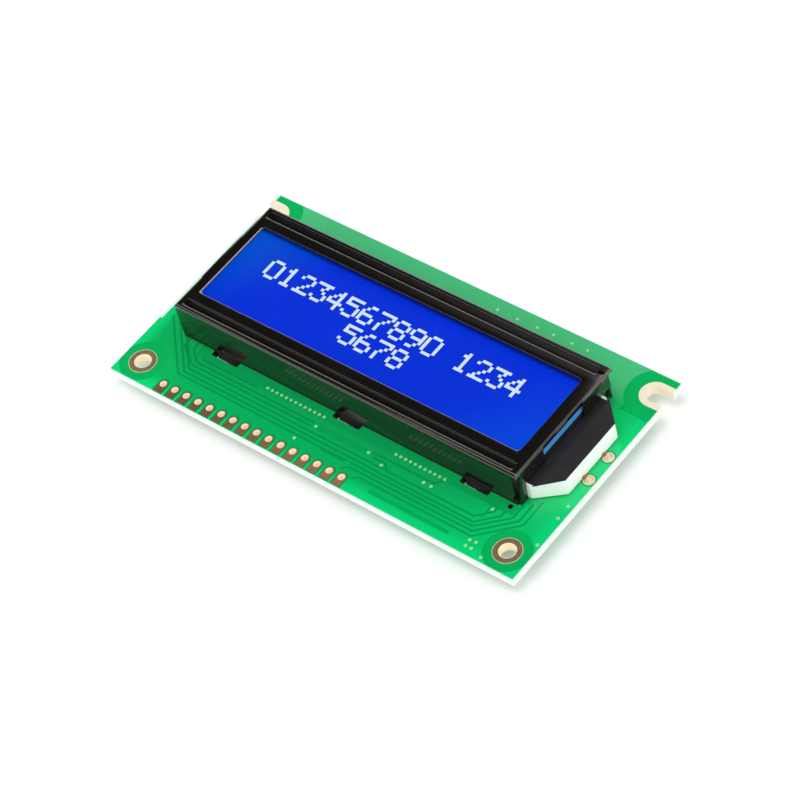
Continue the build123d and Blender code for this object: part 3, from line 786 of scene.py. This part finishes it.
class DISPLAY_OT_digits(bpy.types.Operator):
    """Set the lit dots of the digits on the display"""

    bl_idname = "display.digits"
    bl_label = "Digits"

    def execute(self, context):
        settings = context.scene.display_face
        master = block((0, 0, -0.02), (settings.dot_width / MM, settings.dot_height / MM, 0.015))
        bpy.ops.object.transform_apply(location=True, rotation=True, scale=True)
        bpy.ops.object.mode_set(mode="EDIT")
        bpy.ops.mesh.select_all(action="SELECT")
        bpy.ops.mesh.bevel(offset=0.008 * MM, segments=1, affect="EDGES")
        bpy.ops.object.mode_set(mode="OBJECT")
        places = []
        for row, text in enumerate((settings.top_text, settings.low_text)):
            for column, figure in enumerate(text):
                for line, bits in enumerate(FIGURES.get(figure, ())):
                    for dot in range(5):
                        if bits >> (4 - dot) & 1:
                            x = settings.first_column + column * settings.column_pitch + dot * settings.dot_pitch_x
                            y = settings.top_row - row * settings.row_pitch + (6 - line) * settings.dot_pitch_y
                            places.append((x / MM, y / MM, FACE_TOP))
        if not places:
            raise RuntimeError("No row holds a digit")
        dots = copies(master, places, "lit_dots")
        finish = Finish("Lit Dot")
        haze = finish.cloud(3.0, 2.0)
        colour = finish.mix(tuple(settings.lit), paint(208, 230, 255), haze)
        settle(dots, finish.surface(
            base_color=finish.mix(paint(118, 132, 146), paint(110, 126, 146), haze),
            emission_color=colour,
            emission_strength=0.66,
            roughness=0.4,
        ))
        return {"FINISHED"}


class DISPLAY_OT_backlight(bpy.types.Operator):
    """Finish the backlight, its films, lamps, shield and tape"""

    bl_idname = "display.backlight"
    bl_label = "Backlight"

    def execute(self, context):
        for name, nodes, light, dark, rough in (
            ("Moulded Tray", ["backlight_frame"], (252, 254, 252), (240, 248, 244), 0.42),
            ("White Film", ["reflector_film", "diffuser_film"], (240, 242, 244), (226, 230, 234), 0.5),
            ("Prism Film", ["prism_film"], (214, 220, 226), (190, 200, 210), 0.25),
            ("Light Guide", ["light_guide"], (206, 222, 232), (180, 204, 220), 0.12),
            ("Lamp Resin", ["backlight_lamps"], (244, 240, 214), (236, 226, 150), 0.3),
            ("Black Shield", ["light_shield"], (34, 32, 33), (24, 23, 24), 0.42),
            ("Black Tape", ["tongue_tape"], (48, 46, 48), (34, 33, 35), 0.36),
        ):
            finish = Finish(name)
            grain = finish.cloud(1.4, 4.0)
            fine = finish.cloud(0.1, 2.0)
            colour = finish.mix(paint(*light), paint(*dark), grain)
            dress(nodes, finish.surface(
                base_color=colour,
                emission_color=colour,
                # painted light: the white tray glows a little so that it renders bright white
                emission_strength=0.16 if name == "Moulded Tray" else 0.0,
                roughness=rough + 0.08 * fine,
                normal=finish.bump(fine, 0.12, 0.02),
            ))
        return {"FINISHED"}


class DISPLAY_OT_underside(bpy.types.Operator):
    """Finish the resin drops and chips under the board"""

    bl_idname = "display.underside"
    bl_label = "Underside"

    def execute(self, context):
        for name, nodes, light, dark, rough in (
            ("Black Resin", ["controller_blob", "driver_blob"], (20, 20, 21), (30, 30, 31), 0.2),
            ("Resistor Body", ["chip_resistors"], (24, 24, 26), (40, 40, 42), 0.35),
            ("Capacitor Body", ["chip_capacitors"], (150, 116, 84), (126, 96, 68), 0.45),
        ):
            finish = Finish(name)
            grain = finish.cloud(1.6, 3.0)
            dress(nodes, finish.surface(
                base_color=finish.mix(paint(*light), paint(*dark), grain),
                roughness=rough + 0.1 * grain,
                normal=finish.bump(grain, 0.2, 0.05),
            ))
        return {"FINISHED"}


class DISPLAY_OT_studio(bpy.types.Operator):
    """Set the floor, the lamps and the camera"""

    bl_idname = "display.studio"
    bl_label = "Studio"

    def execute(self, context):
        settings = context.scene.display_studio
        fresh()
        bpy.ops.mesh.primitive_plane_add(size=6, location=(0, 0, -0.00002))
        floor = context.object
        floor.name = "studio_floor"
        floor.data.materials.append(floor_finish())
        for name, toward, along, distance, width, height, level, share in LAMPS:
            lamp = bpy.data.lights.new(name, "AREA")
            lamp.shape = "RECTANGLE"
            lamp.size = width
            lamp.size_y = height
            lamp.energy = getattr(settings, level) * share * math.pi * width * height
            holder = bpy.data.objects.new(name, lamp)
            context.scene.collection.objects.link(holder)
            toward = Vector(toward).normalized()
            rise_axis = (Vector(along) - toward * toward.dot(Vector(along))).normalized()
            axes = Matrix((rise_axis.cross(toward), rise_axis, toward)).transposed()
            holder.matrix_world = Matrix.Translation(toward * distance) @ axes.to_4x4()
        context.scene.world = studio_world()
        turn, rise, roll = settings.azimuth, settings.elevation, settings.roll
        back = Vector((math.sin(turn) * math.cos(rise), -math.cos(turn) * math.cos(rise), math.sin(rise)))
        right = Vector((0, 0, 1)).cross(back).normalized()
        down = right.cross(back)
        across = right * math.cos(roll) + down * math.sin(roll)
        drop = down * math.cos(roll) - right * math.sin(roll)
        lens = bpy.data.cameras.new("camera")
        lens.lens = settings.lens
        lens.sensor_width = 36
        lens.clip_start = 0.01
        camera = bpy.data.objects.new("camera", lens)
        context.scene.collection.objects.link(camera)
        camera.matrix_world = Matrix.Translation(settings.place) @ Matrix((across, -drop, back)).transposed().to_4x4()
        context.scene.camera = camera
        context.scene.view_settings.view_transform = "Standard"
        return {"FINISHED"}


def floor_finish():
    """White paper that keeps the module's shadow."""
    finish = Finish("White Paper")
    grain = finish.cloud(4.0, 4.0)
    paper = finish.mix(paint(238, 238, 238), paint(236, 236, 237), grain)
    plain = finish.node("ShaderNodeBsdfDiffuse", inputs={"Color": paper})
    glow = finish.node("ShaderNodeEmission", inputs={"Color": (1.0, 1.0, 1.0), "Strength": 0.24})
    lit = finish.node("ShaderNodeAddShader", inputs={0: plain, 1: glow})
    seen = [finish.node("ShaderNodeLightPath", output=f"Is {ray} Ray") for ray in ("Camera", "Glossy", "Transmission")]
    seen = seen[0].most(seen[1]).most(seen[2])
    shader = finish.node("ShaderNodeMixShader", inputs={0: seen, 1: plain, 2: lit})
    finish.node("ShaderNodeOutputMaterial", inputs={"Surface": shader})
    return finish.material


def studio_world():
    """Pale surround, dark only in the patch of ceiling that the bezel's plate would mirror."""
    world = bpy.data.worlds.new("Studio")
    world.use_nodes = True
    tree = world.node_tree
    shade = tree.nodes["Background"]
    place = tree.nodes.new("ShaderNodeTexCoord")
    toward = tree.nodes.new("ShaderNodeVectorMath")
    toward.operation = "DOT_PRODUCT"
    toward.inputs[1].default_value = Vector(MIRRORED).normalized()
    tree.links.new(place.outputs["Generated"], toward.inputs[0])
    ramp = tree.nodes.new("ShaderNodeMapRange")
    ramp.interpolation_type = "SMOOTHSTEP"
    for number, value in enumerate((0.70, 0.90, *SURROUND), 1):
        ramp.inputs[number].default_value = value
    tree.links.new(toward.outputs["Value"], ramp.inputs[0])
    shade.inputs["Color"].default_value = (1, 1, 1, 1)
    tree.links.new(ramp.outputs[0], shade.inputs["Strength"])
    return world


class DISPLAY_PT_panel(bpy.types.Panel):
    """Sidebar panel that lists the module's pieces"""

    bl_idname = "DISPLAY_PT_panel"
    bl_label = "Display Module"
    bl_space_type = "VIEW_3D"
    bl_region_type = "UI"
    bl_category = "Display"

    def draw(self, context):
        for group in ("display_face", "display_board", "display_studio"):
            settings = getattr(context.scene, group)
            box = self.layout.box()
            for name in settings.bl_rna.properties.keys():
                if name not in ("rna_type", "name"):
                    box.prop(settings, name)
        for operator in OPERATORS:
            self.layout.operator(operator.bl_idname)


OPERATORS = (
    DISPLAY_OT_board,
    DISPLAY_OT_vias,
    DISPLAY_OT_plating,
    DISPLAY_OT_bezel,
    DISPLAY_OT_cell,
    DISPLAY_OT_digits,
    DISPLAY_OT_backlight,
    DISPLAY_OT_underside,
    DISPLAY_OT_studio,
)
CLASSES = (DisplaySettings, BoardSettings, StudioSettings, *OPERATORS, DISPLAY_PT_panel)


def register():
    for kind in CLASSES:
        bpy.utils.register_class(kind)
    bpy.types.Scene.display_face = PointerProperty(type=DisplaySettings)
    bpy.types.Scene.display_board = PointerProperty(type=BoardSettings)
    bpy.types.Scene.display_studio = PointerProperty(type=StudioSettings)


def unregister():
    del bpy.types.Scene.display_studio
    del bpy.types.Scene.display_board
    del bpy.types.Scene.display_face
    for kind in reversed(CLASSES):
        bpy.utils.unregister_class(kind)


def main():
    """Register the add-on and make every piece in order."""
    register()
    bpy.ops.display.board()
    bpy.ops.display.vias()
    bpy.ops.display.plating()
    bpy.ops.display.bezel()
    bpy.ops.display.cell()
    bpy.ops.display.digits()
    bpy.ops.display.backlight()
    bpy.ops.display.underside()
    bpy.ops.display.studio()


if __name__ == "__main__":
    main()
